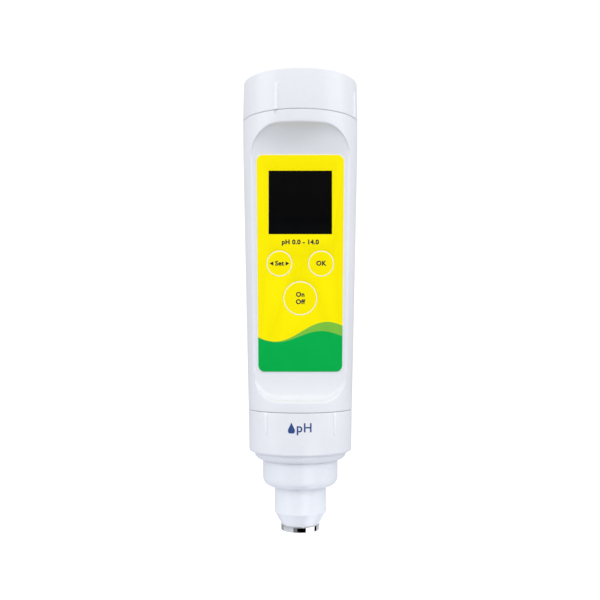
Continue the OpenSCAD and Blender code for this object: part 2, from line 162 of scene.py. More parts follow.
def face_matrix():
    """Carries the face's plane to the row frame, in metres."""
    turn = Matrix.Rotation(math.pi / 2 + FACE_TILT, 4, "X")
    return Matrix.Translation(Vector((0, FACE_Y, FACE_Z)) * MM) @ turn


def barrel_radius(z):
    """Outside radius of the barrel at height z."""
    heights = [COLLAR_TOP_Z, DRAFT_TOP_Z, SEAM_Z]
    return float(np.interp(z, heights, [BARREL_LOW_R, DRAFT_TOP_R, BARREL_R]))


# ---------- Mesh tools ----------

def new_mesh(name, points, faces):
    """An object at the origin, from points in millimetres."""
    mesh = bpy.data.meshes.new(name)
    mesh.from_pydata([tuple(c * MM for c in p) for p in points], [], faces)
    mesh.validate()
    piece = bpy.data.objects.new(name, mesh)
    bpy.context.scene.collection.objects.link(piece)
    return piece


def tidy_mesh(piece, weld=0.002 * MM):
    """Merges doubles and turns every face outwards."""
    bm = bmesh.new()
    bm.from_mesh(piece.data)
    bmesh.ops.remove_doubles(bm, verts=bm.verts, dist=weld)
    bmesh.ops.dissolve_degenerate(bm, edges=bm.edges, dist=weld / 4)
    bmesh.ops.recalc_face_normals(bm, faces=bm.faces)
    bm.to_mesh(piece.data)
    bm.free()


def shade(piece, degrees=35):
    """Smooth shading, with sharp edges where faces meet at more than an angle."""
    piece.data.shade_smooth()
    piece.data.set_sharp_from_angle(angle=math.radians(degrees))


def apply_modifiers(piece):
    """Replaces a piece's mesh by what its modifiers make."""
    graph = bpy.context.evaluated_depsgraph_get()
    made = bpy.data.meshes.new_from_object(piece.evaluated_get(graph), depsgraph=graph)
    piece.modifiers.clear()
    piece.data = made


def combine(piece, other, operation):
    """Boolean of two closed pieces. The other one is used up."""
    step = piece.modifiers.new(operation, "BOOLEAN")
    step.operation = operation
    step.solver = "EXACT"
    step.object = other
    apply_modifiers(piece)
    bpy.data.objects.remove(other)


def bevel(piece, width, segments=3, degrees=30):
    """Rounds a piece's sharp edges by a width in millimetres."""
    step = piece.modifiers.new("round_edges", "BEVEL")
    step.width = width * MM
    step.segments = segments
    step.limit_method = "ANGLE"
    step.angle_limit = math.radians(degrees)
    step.use_clamp_overlap = True
    apply_modifiers(piece)


def settle(piece, body, slot, *replaced):
    """Gives a finished piece its body and hides the CAD nodes it replaces. The slot is not used."""
    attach(piece, body)
    if replaced:
        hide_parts(*replaced)
    return piece


def finish_piece(piece, material, body, slot, *replaced):
    """Gives a finished piece its material and body, and hides the CAD nodes it replaces. The slot is not
    used.
    """
    piece.data.materials.clear()
    piece.data.materials.append(material)
    return settle(piece, body, slot, *replaced)


def two_toned(piece, first, second, is_second):
    """Gives a piece two materials, the second one on the faces that pass a test."""
    piece.data.materials.append(first)
    piece.data.materials.append(second)
    for face in piece.data.polygons:
        face.material_index = int(is_second(face))


def rounded(corners, steps=5):
    """A profile through (radius, height, rounding) corners, with each corner rounded by an arc."""
    out = []
    last = len(corners) - 1
    for i, (r, z, rounding) in enumerate(corners):
        here = Vector((r, z))
        if not rounding or i in (0, last):
            out.append(here)
            continue
        to_last = (Vector(corners[i - 1][:2]) - here).normalized()
        to_next = (Vector(corners[i + 1][:2]) - here).normalized()
        half = to_last.angle(to_next) / 2
        centre = here + (to_last + to_next).normalized() * rounding / math.sin(half)
        start = here + to_last * rounding / math.tan(half) - centre
        sweep = start.angle_signed(here + to_next * rounding / math.tan(half) - centre)
        for k in range(steps + 1):
            angle = -sweep * k / steps
            cos, sin = math.cos(angle), math.sin(angle)
            out.append(centre + Vector((cos * start.x - sin * start.y, sin * start.x + cos * start.y)))
    return out


def arc(r, z, radius, start, end, steps=10):
    """Corners of an arc about (r, z), in degrees, for rounded()."""
    angles = [math.radians(start + (end - start) * k / steps) for k in range(steps + 1)]
    return [(r + radius * math.cos(a), z + radius * math.sin(a), 0) for a in angles]


def revolve(name, profile, around=AROUND):
    """A closed solid turned from a profile, which starts and ends on the axis or closes on itself."""
    points, rings = [], []
    for r, z in profile:
        if r < 1e-6:
            rings.append([len(points)] * around)
            points.append((0, 0, z))
            continue
        rings.append(list(range(len(points), len(points) + around)))
        points += [(r * math.cos(FULL_TURN * k / around), r * math.sin(FULL_TURN * k / around), z)
                   for k in range(around)]
    if profile[0][0] > 1e-6:
        rings.append(rings[0])
    faces = []
    for a, b in zip(rings, rings[1:]):
        for k in range(around):
            n = (k + 1) % around
            corners = list(dict.fromkeys((a[k], a[n], b[n], b[k])))
            if len(corners) > 2:
                faces.append(corners)
    piece = new_mesh(name, points, faces)
    tidy_mesh(piece)
    return piece


def skin(name, rings):
    """A closed solid through a row of rings with the same number of points."""
    around = len(rings[0])
    points = [p for ring in rings for p in ring]
    faces = [tuple(range(around))[::-1], tuple(range(len(points) - around, len(points)))]
    for i in range(len(rings) - 1):
        for k in range(around):
            a, b = i * around + k, i * around + (k + 1) % around
            faces.append((a, b, b + around, a + around))
    piece = new_mesh(name, points, faces)
    tidy_mesh(piece)
    return piece


def block(name, lowest, highest, place=None):
    """A box between two corners, in millimetres, carried by a matrix in metres."""
    (x0, y0, z0), (x1, y1, z1) = lowest, highest
    points = [(x, y, z) for x in (x0, x1) for y in (y0, y1) for z in (z0, z1)]
    faces = [(0, 1, 3, 2), (4, 6, 7, 5), (0, 4, 5, 1), (2, 3, 7, 6), (0, 2, 6, 4), (1, 5, 7, 3)]
    piece = new_mesh(name, points, faces)
    if place:
        piece.data.transform(place)
    tidy_mesh(piece)
    return piece


def disc(name, x, y, r, z0, z1, place=None, around=96):
    """An upright cylinder in millimetres, carried by a matrix in metres."""
    piece = revolve(name, [(0, z0), (r, z0), (r, z1), (0, z1)], around)
    piece.data.transform(Matrix.Translation((x * MM, y * MM, 0)))
    if place:
        piece.data.transform(place)
    return piece


def outline_solid(name, outline, z0, z1):
    """A closed solid of an outline in x and y, between two heights."""
    return skin(name, [[(x, y, z) for x, y in outline] for z in (z0, z1)])


# ---------- Node trees: threads and ribs ----------

def add_node(tree, kind, inputs=None, **settings):
    """A node with its settings, and inputs given as sockets to link or as fixed values."""
    node = tree.nodes.new(kind)
    for key, value in settings.items():
        setattr(node, key, value)
    for key, value in (inputs or {}).items():
        if isinstance(value, bpy.types.NodeSocket):
            tree.links.new(value, node.inputs[key])
        else:
            node.inputs[key].default_value = value
    return node


def node_tree(name, numbers, *others):
    """A Geometry Nodes tree with (name, kind) inputs, of which geometry comes first, and number inputs."""
    tree = bpy.data.node_groups.new(name, "GeometryNodeTree")
    tree.interface.new_socket("Geometry", in_out="OUTPUT", socket_type="NodeSocketGeometry")
    for label, kind in list(others) + [(number, "NodeSocketFloat") for number in numbers]:
        tree.interface.new_socket(label, in_out="INPUT", socket_type=kind)
    tree.interface.new_socket("Material", in_out="INPUT", socket_type="NodeSocketMaterial")
    return tree, tree.nodes.new("NodeGroupInput").outputs


def end_tree(tree, given, geometry):
    """Ends a tree in Realize Instances and Set Material."""
    real = add_node(tree, "GeometryNodeRealizeInstances", {"Geometry": geometry})
    painted = add_node(tree, "GeometryNodeSetMaterial", {
        "Geometry": real.outputs["Geometry"], "Material": given["Material"]})
    add_node(tree, "NodeGroupOutput", {"Geometry": painted.outputs["Geometry"]})
    return tree


def run_tree(piece, tree, values):
    """Puts what a tree makes of a piece and of its inputs' values in place of the piece's mesh."""
    step = piece.modifiers.new("make", "NODES")
    step.node_group = tree
    for socket in tree.interface.items_tree:
        if socket.in_out == "INPUT" and socket.name in values:
            step[socket.identifier] = values[socket.name]
    apply_modifiers(piece)
    return piece


def thread_tree():
    """A helical ridge: a spiral with a profile swept along it."""
    tree, given = node_tree(
        "helical_ridge", ("Radius", "Turns", "Rise", "Depth", "Root Width", "Crest Width"))
    spiral = add_node(tree, "GeometryNodeCurveSpiral", {
        "Resolution": 96, "Start Radius": given["Radius"], "End Radius": given["Radius"],
        "Rotations": given["Turns"], "Height": given["Rise"]})
    upright = add_node(tree, "GeometryNodeSetCurveNormal", {"Curve": spiral.outputs["Curve"]}, mode="Z_UP")
    ridge = add_node(tree, "GeometryNodeCurvePrimitiveQuadrilateral", {
        "Offset": 0, "Bottom Width": given["Root Width"], "Top Width": given["Crest Width"],
        "Height": given["Depth"]}, mode="TRAPEZOID")
    outwards = add_node(tree, "GeometryNodeTransform", {
        "Geometry": ridge.outputs["Curve"], "Rotation": (0, 0, math.pi / 2)})
    sweep = add_node(tree, "GeometryNodeCurveToMesh", {
        "Curve": upright.outputs["Curve"], "Profile Curve": outwards.outputs["Geometry"],
        "Fill Caps": True})
    return end_tree(tree, given, sweep.outputs["Mesh"])


def copies_tree():
    """Copies of the incoming mesh set round the Z axis, from a start angle on, an equal step apart."""
    tree, given = node_tree("copies_round_axis", ("Start Angle", "Step Angle"),
                            ("Mesh", "NodeSocketGeometry"), ("Count", "NodeSocketInt"))
    places = add_node(tree, "GeometryNodeMeshLine", {"Offset": (0, 0, 0), "Count": given["Count"]})
    index = add_node(tree, "GeometryNodeInputIndex").outputs["Index"]
    angle = add_node(tree, "ShaderNodeMath", {
        0: index, 1: given["Step Angle"], 2: given["Start Angle"]}, operation="MULTIPLY_ADD")
    turn = add_node(tree, "ShaderNodeCombineXYZ", {"Z": angle.outputs["Value"]})
    copies = add_node(tree, "GeometryNodeInstanceOnPoints", {
        "Points": places.outputs["Mesh"], "Instance": given["Mesh"], "Rotation": turn.outputs["Vector"]})
    return end_tree(tree, given, copies.outputs["Instances"])


# ---------- Shader tools ----------

def maths(tree, operation, *values):
    """The result of a Math node."""
    node = add_node(tree, "ShaderNodeMath", dict(enumerate(values)), operation=operation)
    return node.outputs["Value"]


def mixed(tree, factor, first, second):
    """The colour between two colours or colour sockets."""
    colours = [c if isinstance(c, bpy.types.NodeSocket) else (*c, 1) for c in (first, second)]
    node = add_node(tree, "ShaderNodeMix", {0: factor, 6: colours[0], 7: colours[1]}, data_type="RGBA")
    return node.outputs[2]


def spread(tree, value, low_out, high_out, low_in=0.0, high_in=1.0):
    """A value carried from one span to another, clamped."""
    node = add_node(tree, "ShaderNodeMapRange", {
        "Value": value, "From Min": low_in, "From Max": high_in, "To Min": low_out, "To Max": high_out})
    return node.outputs["Result"]


def shader_group(name, numbers, outputs):
    """An empty shader group with number inputs, and its outputs as (name, kind)."""
    group = bpy.data.node_groups.new(name, "ShaderNodeTree")
    for label, value in numbers.items():
        group.interface.new_socket(label, in_out="INPUT", socket_type="NodeSocketFloat").default_value = value
    for label, kind in outputs:
        group.interface.new_socket(label, in_out="OUTPUT", socket_type=kind)
    return group, group.nodes.new("NodeGroupInput"), group.nodes.new("NodeGroupOutput")


def uneven_group():
    """A soft mask of broad and fine patches, as in any moulded or printed surface."""
    group, given, result = shader_group("uneven_surface", {"Scale": 60.0}, [("Mask", "NodeSocketFloat")])
    place = add_node(group, "ShaderNodeTexCoord").outputs["Object"]
    broad = add_node(group, "ShaderNodeTexNoise", {
        "Vector": place, "Scale": given.outputs["Scale"], "Detail": 3.0, "Roughness": 0.55}).outputs["Fac"]
    close = add_node(group, "ShaderNodeTexNoise", {
        "Vector": place, "Scale": maths(group, "MULTIPLY", given.outputs["Scale"], 14.0), "Detail": 2.0})
    both = maths(group, "MULTIPLY_ADD", close.outputs["Fac"], 0.35, maths(group, "MULTIPLY", broad, 0.65))
    group.links.new(spread(group, both, 0.0, 1.0, 0.3, 0.7), result.inputs["Mask"])
    return group


def relief_group():
    """Very shallow moulding texture as a normal, with a fine grain over a long soft swell."""
    group, given, result = shader_group(
        "moulding_relief", {"Scale": 2500.0, "Height": 0.00001, "Strength": 0.3},
        [("Normal", "NodeSocketVector")])
    place = add_node(group, "ShaderNodeTexCoord").outputs["Object"]
    grain = add_node(group, "ShaderNodeTexNoise", {
        "Vector": place, "Scale": given.outputs["Scale"], "Detail": 4.0}).outputs["Fac"]
    swell = add_node(group, "ShaderNodeTexNoise", {
        "Vector": place, "Scale": maths(group, "MULTIPLY", given.outputs["Scale"], 0.06), "Detail": 1.0})
    height = maths(group, "ADD", grain, maths(group, "MULTIPLY", swell.outputs["Fac"], 1.5))
    bump = add_node(group, "ShaderNodeBump", {
        "Height": height, "Distance": given.outputs["Height"], "Strength": given.outputs["Strength"]})
    group.links.new(bump.outputs["Normal"], result.inputs["Normal"])
    return group


def stripes_group():
    """A mask of fine parallel lines. The three weights give the direction across them."""
    group, given, result = shader_group(
        "fine_lines", {"Across X": 0.0, "Across Y": 0.0, "Across Z": 0.0, "Pitch": 0.001, "Share": 0.5},
        [("Mask", "NodeSocketFloat")])
    place = add_node(group, "ShaderNodeTexCoord").outputs["Object"]
    axes = add_node(group, "ShaderNodeCombineXYZ", {
        k: given.outputs["Across " + k] for k in "XYZ"}).outputs["Vector"]
    along = add_node(group, "ShaderNodeVectorMath", {0: place, 1: axes}, operation="DOT_PRODUCT")
    phase = maths(group, "FRACT", maths(group, "DIVIDE", along.outputs["Value"], given.outputs["Pitch"]))
    group.links.new(maths(group, "LESS_THAN", phase, given.outputs["Share"]), result.inputs["Mask"])
    return group


UNEVEN = uneven_group()
RELIEF = relief_group()
LINES = stripes_group()


def use_group(tree, group, **values):
    """A group node with its inputs set. Underscores in names stand for spaces."""
    node = add_node(tree, "ShaderNodeGroup", node_tree=group)
    for key, value in values.items():
        node.inputs[key.replace("_", " ")].default_value = value
    return node.outputs[0]


def new_material(name, **settings):
    """A material whose shader has fixed settings on its sockets. Returns its tree and shader too."""
    material = bpy.data.materials.new(name)
    material.use_nodes = True
    tree = material.node_tree
    shader = tree.nodes["Principled BSDF"]
    for key, value in settings.items():
        shader.inputs[key.replace("_", " ")].default_value = value
    return material, tree, shader


def finish_surface(tree, shader, colour, roughness, scale, relief):
    """Links a colour, an uneven roughness between two limits and a fine relief to a shader."""
    mask = use_group(tree, UNEVEN, Scale=scale)
    tree.links.new(colour, shader.inputs["Base Color"])
    tree.links.new(spread(tree, mask, *roughness), shader.inputs["Roughness"])
    tree.links.new(use_group(tree, RELIEF, **relief), shader.inputs["Normal"])


def plain_material(name, first, second, roughness, scale=60.0, relief=None, **settings):
    """A material that drifts between two close colours."""
    material, tree, shader = new_material(name, **settings)
    colour = mixed(tree, use_group(tree, UNEVEN, Scale=scale), first, second)
    finish_surface(tree, shader, colour, roughness, scale, relief or {})
    return material


def lined_material(name, ground, line, roughness, axis, pitch, share, **settings):
    """A material with fine printed or layered lines across an axis."""
    material, tree, shader = new_material(name, **settings)
    lines = use_group(tree, LINES, Pitch=pitch, Share=share, **{"Across_" + axis: 1.0})
    drift = mixed(tree, use_group(tree, UNEVEN, Scale=90.0), ground, [c * 0.85 for c in ground])
    finish_surface(tree, shader, mixed(tree, lines, drift, line), roughness, 90.0, {})
    return material


# ---------- Materials ----------

WHITE_A = (0.80, 0.81, 0.845)
WHITE_B = (0.83, 0.84, 0.87)
YELLOWS = ((0.99, 0.845, 0.0), (1.0, 0.865, 0.001))
INK_BLACK = (0.003, 0.003, 0.010)


def label_material():
    """Printed film: yellow, with a dark-green and a light-green wave across its lower end."""
    material, tree, shader = new_material("printed_film", Specular_IOR_Level=0.05)
    place = add_node(tree, "ShaderNodeSeparateXYZ", {
        0: add_node(tree, "ShaderNodeTexCoord").outputs["Object"]})
    across = maths(tree, "DIVIDE", place.outputs["X"], MM)
    up = maths(tree, "DIVIDE", place.outputs["Z"], MM)

    def below_wave(level, height, shift, half_length):
        """1 below a wave's edge and 0 above it."""
        phase = maths(tree, "MULTIPLY", maths(tree, "ADD", across, shift), math.pi / half_length)
        edge = maths(tree, "MULTIPLY_ADD", maths(tree, "SINE", phase), height, level)
        return spread(tree, maths(tree, "SUBTRACT", edge, up), 0.0, 1.0, -0.08, 0.08)

    drift = use_group(tree, UNEVEN, Scale=120.0)
    yellow = mixed(tree, drift, *YELLOWS)
    light_green = mixed(tree, drift, (0.19, 0.52, 0.052), (0.22, 0.56, 0.06))
    dark_green = mixed(tree, drift, (0.001, 0.41, 0.065), (0.002, 0.45, 0.075))
    upper = mixed(tree, below_wave(67.4, 3.3, -0.25, 17.5), yellow, light_green)
    colour = mixed(tree, below_wave(65.77, 1.85, 0.4, 14.8), upper, dark_green)
    finish_surface(tree, shader, colour, (0.34, 0.44), 120.0, {"Scale": 4000.0, "Height": 0.000006})
    return material


def battery_material():
    """Shrink wrap with a band, between bare steel ends."""
    material, tree, shader = new_material("battery_wrap", Specular_IOR_Level=0.6)
    z0, z1 = low("battery_left").z, high("battery_left").z
    place = add_node(tree, "ShaderNodeSeparateXYZ", {
        0: add_node(tree, "ShaderNodeTexCoord").outputs["Object"]})
    up = maths(tree, "DIVIDE", place.outputs["Z"], MM)
    band = maths(tree, "COMPARE", up, z1 - 12, 4.5)
    wrapped = maths(tree, "COMPARE", up, (z0 + z1) / 2, (z1 - z0) / 2 - 1.4)
    drift = use_group(tree, UNEVEN, Scale=90.0)
    wrap = mixed(tree, band, mixed(tree, drift, (0.02, 0.07, 0.25), (0.03, 0.09, 0.30)), (0.62, 0.63, 0.66))
    tree.links.new(maths(tree, "SUBTRACT", 1.0, wrapped), shader.inputs["Metallic"])
    finish_surface(tree, shader, mixed(tree, wrapped, (0.6, 0.6, 0.62), wrap), (0.22, 0.34), 90.0, {})
    return material


def board_material():
    """Green solder mask with fine tracks and gold pads."""
    material, tree, shader = new_material("circuit_board", Coat_Weight=0.4, Coat_Roughness=0.2)
    tracks = use_group(tree, LINES, Across_X=1.0, Across_Z=0.35, Pitch=0.0016, Share=0.3)
    pads = add_node(tree, "ShaderNodeTexVoronoi", {
        "Vector": add_node(tree, "ShaderNodeTexCoord").outputs["Object"], "Scale": 420.0,
        "Randomness": 0.55}).outputs["Distance"]
    mask = mixed(tree, use_group(tree, UNEVEN, Scale=120.0), (0.006, 0.10, 0.035), (0.01, 0.13, 0.045))
    routed = mixed(tree, tracks, mask, (0.02, 0.20, 0.07))
    colour = mixed(tree, maths(tree, "LESS_THAN", pads, 0.17), routed, (0.75, 0.55, 0.20))
    finish_surface(tree, shader, colour, (0.25, 0.4), 120.0, {})
    return material


def brushed_material(name, first, second, roughness, axis, pitch):
    """Metal with fine lines across an axis."""
    material, tree, shader = new_material(name, Metallic=1.0)
    lines = use_group(tree, LINES, Pitch=pitch, Share=0.5, **{"Across_" + axis: 1.0})
    drift = use_group(tree, UNEVEN, Scale=160.0)
    both = maths(tree, "MULTIPLY_ADD", lines, 0.3, maths(tree, "MULTIPLY", drift, 0.7))
    colour = mixed(tree, both, first, second)
    finish_surface(tree, shader, colour, roughness, 160.0,
                   {"Scale": 3000.0, "Height": 0.000002, "Strength": 0.2})
    return material


def junction_material():
    """Porous plastic with fine dark pores."""
    material, tree, shader = new_material("porous_junction")
    place = add_node(tree, "ShaderNodeTexCoord").outputs["Object"]
    pores = add_node(tree, "ShaderNodeTexVoronoi", {"Vector": place, "Scale": 5000.0}).outputs["Distance"]
    colour = mixed(tree, spread(tree, pores, 0.0, 1.0, 0.1, 0.4), (0.35, 0.33, 0.28), (0.80, 0.77, 0.68))
    finish_surface(tree, shader, colour, (0.7, 0.85), 160.0, {"Scale": 5000.0, "Height": 0.00003})
    return material


def glass_material():
    """Thin clear glass, faintly blue, with a soft haze."""
    material, tree, shader = new_material("bulb_glass", Transmission_Weight=0.85, IOR=1.45)
    colour = mixed(tree, use_group(tree, UNEVEN, Scale=150.0), (0.82, 0.92, 0.95), (0.90, 0.96, 0.98))
    finish_surface(tree, shader, colour, (0.03, 0.10), 150.0, {"Scale": 900.0, "Height": 0.000004})
    return material


FINE = {"Scale": 5000.0, "Height": 0.000004, "Strength": 0.25}
MATERIALS = {
    "housing_plastic": plain_material("moulded_housing", WHITE_A, WHITE_B, (0.30, 0.40), relief=FINE,
                                      Coat_Weight=0.08, Coat_Roughness=0.12),
    "probe_plastic": plain_material("moulded_probe", (0.79, 0.81, 0.85), (0.82, 0.84, 0.88), (0.29, 0.37),
                                    relief=FINE, Coat_Weight=0.12, Coat_Roughness=0.1),
    "label_film": label_material(),
    "key_film": plain_material("key_film", *YELLOWS, (0.34, 0.44), 120.0, FINE, Specular_IOR_Level=0.05),
    "display_glass": plain_material("display_glass", (0.001, 0.001, 0.0011), (0.002, 0.002, 0.0021),
                                    (0.04, 0.07), 200.0, {"Scale": 600.0, "Height": 0.000001},
                                    Specular_IOR_Level=0.05),
    "lcd_glass": lined_material("lcd_glass", (0.24, 0.28, 0.23), (0.17, 0.20, 0.17), (0.15, 0.22),
                                "Z", 0.0011, 0.12, Coat_Weight=0.5),
    "white_plastic": plain_material("white_plastic", (0.66, 0.66, 0.65), (0.74, 0.74, 0.73), (0.45, 0.58)),
    "dark_plastic": plain_material("dark_plastic", (0.018, 0.018, 0.02), (0.032, 0.032, 0.035), (0.42, 0.56)),
    "black_rubber": plain_material("black_rubber", (0.010, 0.010, 0.010), (0.022, 0.021, 0.020), (0.62, 0.80),
                                   200.0, {"Scale": 6000.0, "Height": 0.00002}),
    "connector_rubber": lined_material("connector_rubber", (0.55, 0.22, 0.28), (0.03, 0.03, 0.03),
                                       (0.5, 0.65), "X", 0.0005, 0.45),
    "circuit_board": board_material(),
    "chip_plastic": plain_material("chip_plastic", (0.012, 0.012, 0.013), (0.02, 0.02, 0.022), (0.55, 0.7),
                                   300.0, {"Scale": 9000.0, "Height": 0.00002}),
    "ceramic_part": plain_material("ceramic_part", (0.38, 0.27, 0.14), (0.50, 0.38, 0.22), (0.3, 0.5), 700.0),
    "switch_metal": brushed_material("switch_metal", (0.50, 0.51, 0.53), (0.62, 0.63, 0.65), (0.25, 0.4),
                                     "X", 0.0002),
    "screw_steel": brushed_material("screw_steel", (0.48, 0.48, 0.50), (0.62, 0.62, 0.64), (0.22, 0.38),
                                    "Z", 0.0002),
    "battery_wrap": battery_material(),
    "gold_plate": brushed_material("gold_plate", (0.78, 0.56, 0.22), (0.88, 0.66, 0.30), (0.18, 0.32),
                                   "X", 0.0002),
    "ribbon_film": lined_material("ribbon_film", (0.72, 0.72, 0.70), (0.45, 0.36, 0.20), (0.3, 0.4),
                                  "X", 0.001, 0.5),
    "polished_steel": brushed_material("polished_steel", (0.62, 0.62, 0.62), (0.70, 0.70, 0.70),
                                       (0.05, 0.09), "Z", 0.00012),
    "porous_junction": junction_material(),
    "bulb_glass": glass_material(),
    "silver": plain_material("silver", (0.30, 0.28, 0.28), (0.72, 0.71, 0.70), (0.3, 0.55), 900.0,
                             Metallic=0.9),
}
# Lighter copy of the housing plastic for the ribs: a painted highlight, as the ribs are of the same plastic
# and only catch more light.
RIB_HIGHLIGHT_PLASTIC = plain_material("rib_painted_highlight", (0.88, 0.89, 0.93), (0.91, 0.92, 0.95), (0.29, 0.37),
                             relief=FINE, Coat_Weight=0.12, Coat_Roughness=0.1)
RING_WHITE = plain_material("print_white", (0.98, 0.97, 0.80), (1.0, 0.99, 0.86), (0.4, 0.5), 200.0, FINE)
INK = plain_material("print_ink", INK_BLACK, (0.006, 0.006, 0.014), (0.4, 0.5), 300.0, FINE)
MARK_BLUE = plain_material("mark_ink", (0.015, 0.05, 0.20), (0.02, 0.06, 0.24), (0.4, 0.5), 300.0, FINE)
FILM_EDGE = plain_material("film_edge", (0.80, 0.82, 0.92), (0.86, 0.88, 0.95), (0.4, 0.5), 200.0, FINE)

SLOT_OF = {part["node"]: part["material_slot"] for part in frame["record"]["subparts"]}
for node, shown in nodes.items():
    shown.data.materials.clear()
    shown.data.materials.append(MATERIALS[SLOT_OF[node]])

THREAD = thread_tree()
COPIES = copies_tree()


def thread(name, r, z, start, turns, side=1):
    """A helical ridge through radius r from height z up, standing outwards (1) or inwards (-1)."""
    ridge = run_tree(new_mesh(name, [], []), THREAD, {
        "Radius": r * MM, "Turns": turns, "Rise": PITCH * turns * MM, "Depth": THREAD_DEPTH * MM,
        "Root Width": (THREAD_WIDTH + THREAD_TAPER * side) * MM,
        "Crest Width": (THREAD_WIDTH - THREAD_TAPER * side) * MM,
        "Material": MATERIALS["housing_plastic"]})
    ridge.data.transform(Matrix.Translation((0, 0, z * MM)) @ Matrix.Rotation(start, 4, "Z"))
    tidy_mesh(ridge)
    return ridge


def copy_round(piece, count, start, step):
    """Turns a rib into copies of it round the axis."""
    # The copies get the lighter rib plastic, a painted highlight.
    return run_tree(piece, COPIES, {
        "Count": count, "Start Angle": start, "Step Angle": step, "Material": RIB_HIGHLIGHT_PLASTIC})


def join(piece, *others):
    """Joins closed shells into one piece."""
    bm = bmesh.new()
    bm.from_mesh(piece.data)
    for other in others:
        bm.from_mesh(other.data)
        bpy.data.objects.remove(other)
    bm.to_mesh(piece.data)
    bm.free()
    return piece


# ---------- Barrel: one grid of rings, bent in at the front to make the flat face ----------

U_CORNER = 0.455  # share of the half width where the outline's corners begin
U_SIDE = 1.03  # share of the half width where the round back begins
CORNER_SWEEP = math.radians(64)
BACK_COLUMNS = 110

# Each end of the recess: its edge, the drop of its corners, the fillet at its sides and what is added to it
# in the middle, how straight the fillet is, and the last row before the round barrel
RECESS_ENDS = {
    1: (FACE_TOP, FACE_TOP_CORNER, 2.5, 6.5, 0.5, 49.0),
    -1: (-FACE_LOW, FACE_LOW_CORNER, 1.6, 0.6, 0.0, -47.9),
}
LEAST_RIM = 0.3


def side_half_width(y):
    """Half width at which the face's plane runs out of the barrel."""
    edge = face_point(0, y, 0)
    return math.sqrt(barrel_radius(edge.z) ** 2 - edge.y ** 2)


def barrel_height(x, y):
    """How far the barrel's round surface stands in front of the face's plane."""
    out = 0.0
    for _ in range(3):
        r = barrel_radius(face_point(0, y, out).z)
        reach = math.sqrt(max(r * r - x * x, 0.0))
        out = (reach + FACE_Y - math.sin(FACE_TILT) * y) / math.cos(FACE_TILT)
    return out


def soft_min(a, b, k):
    """The lower of two values, blended over a width k."""
    if k < 1e-6:
        return min(a, b)
    share = max(k - abs(a - b), 0.0) / k
    return min(a, b) - share * share * k / 4


def front_columns():
    """Shares of the half width, close together where the outline turns and where the side is rounded."""
    flat = [U_CORNER * k / 9 for k in range(9)]
    corner = [U_CORNER + (1 - U_CORNER) * math.sin(CORNER_SWEEP * k / 14) for k in range(14)]
    side = np.linspace(U_CORNER + (1 - U_CORNER) * math.sin(CORNER_SWEEP), U_SIDE, 16)
    half = flat + corner + list(side)
    return [-u for u in half[:0:-1]] + half


COLUMNS = front_columns()


def outline_reach(u):
    """Falls from 1 at the middle of the outline's end to 0 at its side."""
    share = (abs(u) - U_CORNER) / (1 - U_CORNER)
    return math.sqrt(max(1 - max(share, 0.0) ** 2, 0.0))


def end_row(u, end, stage, t):
    """Height along the face, height out of it and edge blend, for a row at one end of the recess.

    end is 1 at the top and -1 at the bottom. A stage runs from t = 0 to t = 1 outwards."""
    edge_height, corner_drop, side_fillet, more_fillet, straightness, last_row = RECESS_ENDS[end]
    reach = outline_reach(u)
    edge = edge_height - corner_drop * (1 - reach)
    fillet = side_fillet + more_fillet * reach
    x = u * side_half_width(end * edge)
    over = max(barrel_height(x, end * edge), 0.0)
    roundness = FACE_EDGE_ROUND * over / (over + FACE_EDGE_ROUND)
    wall_top = max(over - roundness, 0.0)
    rise = min(fillet, wall_top)
    turn = math.pi / 2 * t
    if stage == "fillet":
        along = math.sin(turn) + (t - math.sin(turn)) * straightness
        up = 1 - math.cos(turn) + (t - 1 + math.cos(turn)) * straightness
        return end * (edge - fillet + fillet * along), rise * up, SIDE_ROUND / 2
    if stage == "wall":
        return end * edge, rise + (wall_top - rise) * t, SIDE_ROUND / 2 * (1 - t)
    rim = max(roundness, LEAST_RIM)
    y = end * (edge + rim * (1 - math.cos(turn)))
    if stage == "rim":
        return y, barrel_height(u * side_half_width(y), y) - roundness * (1 - math.sin(turn)), None
    start = end * (edge + rim)
    return start + (last_row - start) * t, None, None


def face_rows():
    """The stage, end and t of each row of the front, from the bottom up."""
    rows = [("round", -1, t) for t in (1, 0.66, 0.33)]
    rows += [("rim", -1, t) for t in np.linspace(1, 0, 7)]
    rows += [("wall", -1, t) for t in (0.66, 0.33)]
    rows += [("fillet", -1, t) for t in np.linspace(1, 0, 9)]
    floor = [("floor", 0, t) for t in np.linspace(0, 1, 25)[1:-1]]
    top = [("fillet", 1, t) for t in np.linspace(0, 1, 17)]
    top.append(("wall", 1, 0.5))
    top += [("rim", 1, t) for t in np.linspace(0, 1, 7)]
    top += [("round", 1, t) for t in (0.33, 0.66, 1)]
    return rows + floor + top


def front_point(u, stage, end, t):
    """Where a column meets a row, in the row frame."""
    if stage == "floor":
        y0 = end_row(u, -1, "fillet", 0)[0]
        y1 = end_row(u, 1, "fillet", 0)[0]
        y, z, blend = y0 + (y1 - y0) * t, 0.0, SIDE_ROUND / 2
    else:
        y, z, blend = end_row(u, end, stage, t)
    x = u * side_half_width(y)
    if z is None:
        z = barrel_height(x, y)
    elif blend is not None:
        z = soft_min(z, barrel_height(x, y), blend)
    return face_point(x, y, z)


def whole_ring(front):
    """Carries a row of front points on round the back of the barrel."""
    edge = front[-1]
    start = math.atan2(edge.x, -edge.y)
    back = []
    for k in range(1, BACK_COLUMNS):
        angle = start + (FULL_TURN - 2 * start) * k / BACK_COLUMNS
        r = math.hypot(edge.x, edge.y)
        back.append(Vector((r * math.sin(angle), -r * math.cos(angle), edge.z)))
    return front + back


def turned_ring(like, r, z):
    """A ring of one radius and height, with another ring's directions."""
    return [Vector((p.x, p.y, 0)).normalized() * r + Vector((0, 0, z)) for p in like]


